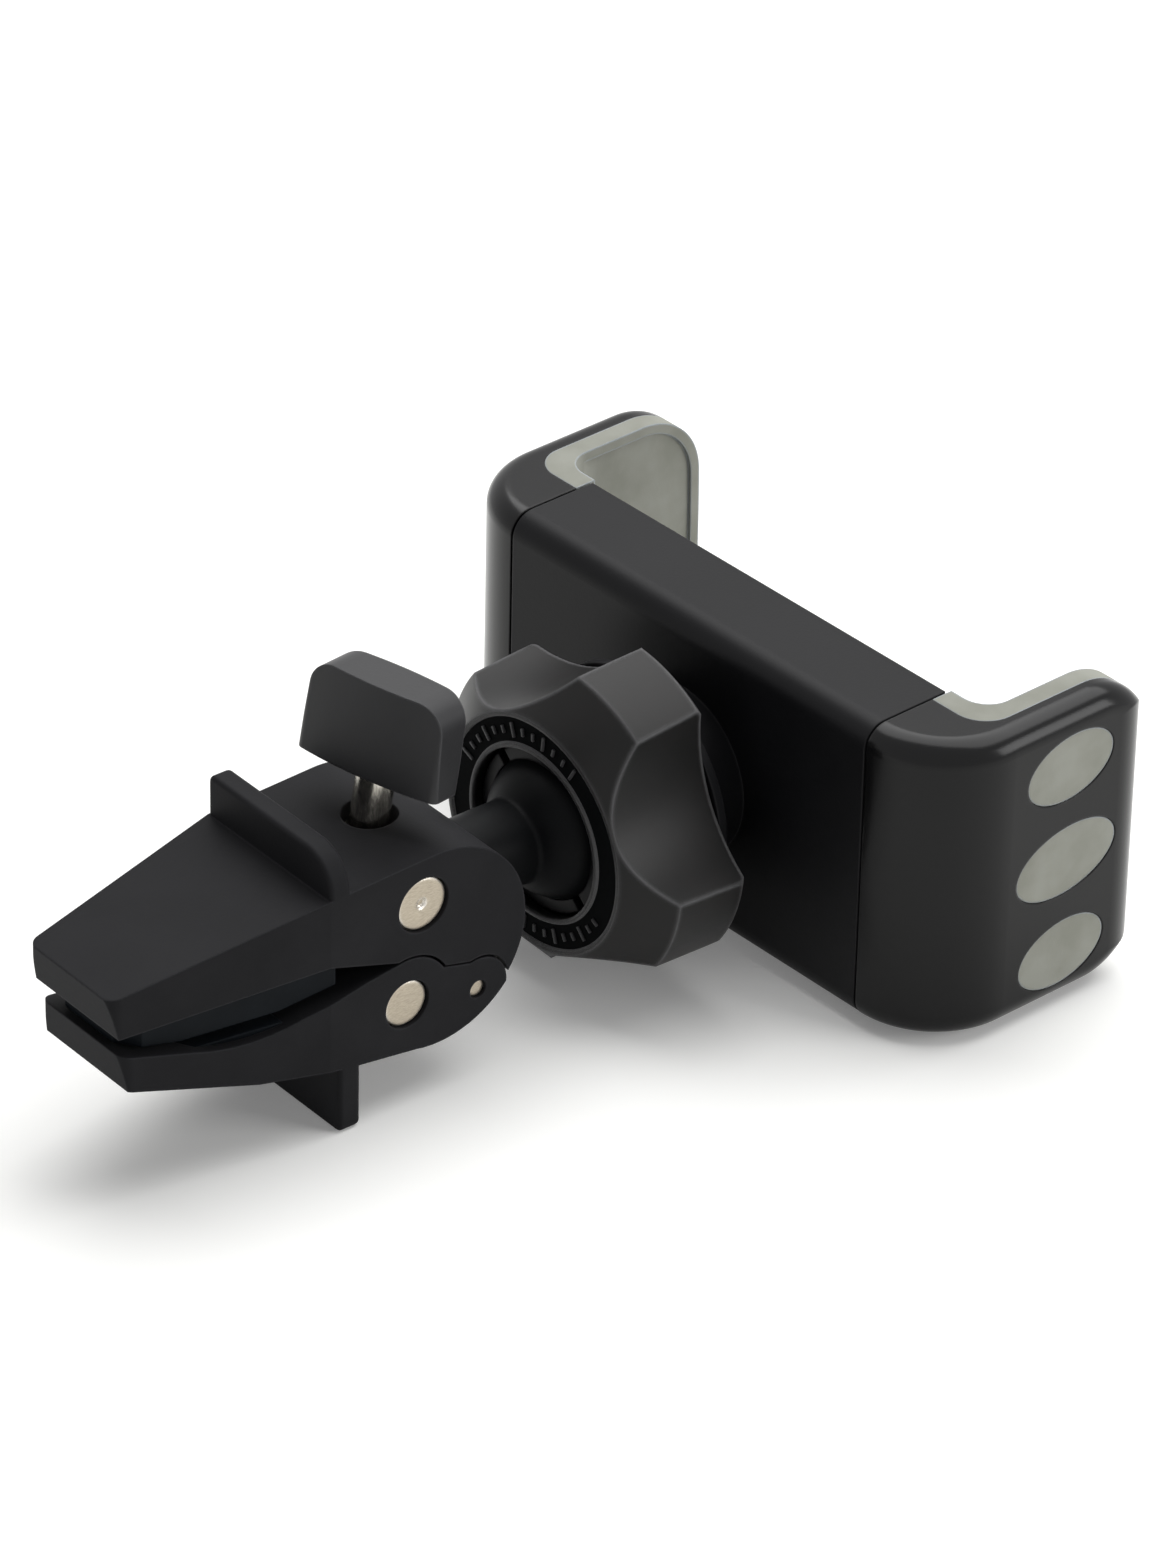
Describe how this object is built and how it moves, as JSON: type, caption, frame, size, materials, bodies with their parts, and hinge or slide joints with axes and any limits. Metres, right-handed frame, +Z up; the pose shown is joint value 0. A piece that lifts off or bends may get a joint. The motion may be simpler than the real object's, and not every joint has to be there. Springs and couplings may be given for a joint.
{
  "type": "air vent phone holder",
  "caption": "Spring-closed phone cradle with rubber-lined side arms on a ball joint with a lobed locking nut, carried by a screw-tightened clamp for an air vent slat.",
  "frame": {"origin": "centre of the cradle's phone-side face", "axes": "+Y out of the phone side towards the phone, +X towards the right arm, +Z up with the holder lying on the nut's lobe and the lower fin"},
  "size_m": [0.0776, 0.1123, 0.0454],
  "materials": {
    "black_shell": "satin moulded ABS",
    "black_matte": "fine-grained moulded nylon",
    "gloss_black": "gloss moulded ABS",
    "grey_rubber": "matt moulded rubber",
    "black_rubber": "matt moulded rubber",
    "natural_acetal": "moulded acetal",
    "steel": "turned and brushed",
    "zinc_steel": "zinc plated"
  },
  "bodies": {
    "cradle": {"rear_housing": "black_shell", "front_cover": "black_shell", "cover_screws": "zinc_steel", "return_spring_right": "steel", "return_spring_left": "steel"},
    "arm_right": {"slider_right": "natural_acetal", "slider_screws_right": "zinc_steel", "arm_shell_right": "gloss_black", "arm_liner_right": "grey_rubber"},
    "arm_left": {"slider_left": "natural_acetal", "slider_screws_left": "zinc_steel", "arm_shell_left": "gloss_black", "arm_liner_left": "grey_rubber"},
    "pinion": {"sync_pinion": "natural_acetal"},
    "locking_nut": {"locking_nut": "black_matte"},
    "ball_cup": {"ball_seat": "black_rubber"},
    "clamp": {"ball_stem": "black_matte", "upper_jaw": "black_matte", "upper_pad": "black_rubber"},
    "lower_jaw": {"lower_jaw": "black_matte", "lower_pad": "black_rubber", "hinge_pin": "steel"},
    "upper_swivel": {"upper_barrel": "steel"},
    "screw": {"thumb_screw": "steel", "retaining_ring": "steel", "thumb_knob": "black_matte"},
    "lower_swivel": {"lower_barrel": "steel"}
  },
  "joints": [
    {"name": "arm_right_slide", "type": "slide", "parent": "cradle", "child": "arm_right", "axis": [1, 0, 0], "range_m": [0, 0.01], "stiffness_N_per_m": 200, "springref_m": -0.015, "deforming": ["return_spring_right"]},
    {"name": "arm_left_slide", "type": "slide", "parent": "cradle", "child": "arm_left", "axis": [-1, 0, 0], "range_m": [0, 0.01], "stiffness_N_per_m": 200, "springref_m": -0.015, "deforming": ["return_spring_left"]},
    {"name": "pinion_turn", "type": "hinge", "parent": "cradle", "child": "pinion", "pos_m": [0, -0.0075, 0], "axis": [0, 1, 0], "range_deg": [-106.2, 0]},
    {"name": "nut_turn", "type": "hinge", "parent": "cradle", "child": "locking_nut", "pos_m": [0, -0.025, 0], "axis": [0, 1, 0], "range_deg": [0, 120]},
    {"name": "ball_turn", "type": "hinge", "parent": "cradle", "child": "ball_cup", "pos_m": [0, -0.0275, 0], "axis": [0, 1, 0], "continuous": true},
    {"name": "ball_tilt", "type": "hinge", "parent": "ball_cup", "child": "clamp", "pos_m": [0, -0.0275, 0], "axis": [0.999, -0.0454, 0], "range_deg": [-30, 30]},
    {"name": "jaw_open", "type": "hinge", "parent": "clamp", "child": "lower_jaw", "pos_m": [-0.00089, -0.04718, -0.008], "axis": [0.999, -0.0454, 0], "range_deg": [0, 14.01]},
    {"name": "upper_swivel", "type": "hinge", "parent": "clamp", "child": "upper_swivel", "pos_m": [-0.00122, -0.05437, 0.0052], "axis": [0.999, -0.0454, 0], "range_deg": [0, 0.99]},
    {"name": "screw_turn", "type": "hinge", "parent": "upper_swivel", "child": "screw", "pos_m": [-0.00122, -0.05437, 0.0052], "axis": [0.0078, 0.1726, 0.985], "range_deg": [0, 1168]},
    {"name": "lower_swivel", "type": "hinge", "parent": "lower_jaw", "child": "lower_swivel", "pos_m": [-0.00131, -0.05637, -0.0062], "axis": [0.999, -0.0454, 0], "range_deg": [-13.03, 0]}
  ],
  "couplings": [
    {"joint": "arm_left_slide", "follows": "arm_right_slide", "ratio": 1},
    {"joint": "pinion_turn", "follows": "arm_right_slide", "rad_per_m": -185.19},
    {"joint": "jaw_open", "follows": "screw_turn", "ratio": 0.011986},
    {"joint": "upper_swivel", "follows": "screw_turn", "ratio": 0.000839},
    {"joint": "lower_swivel", "follows": "screw_turn", "ratio": -0.011147}
  ]
}
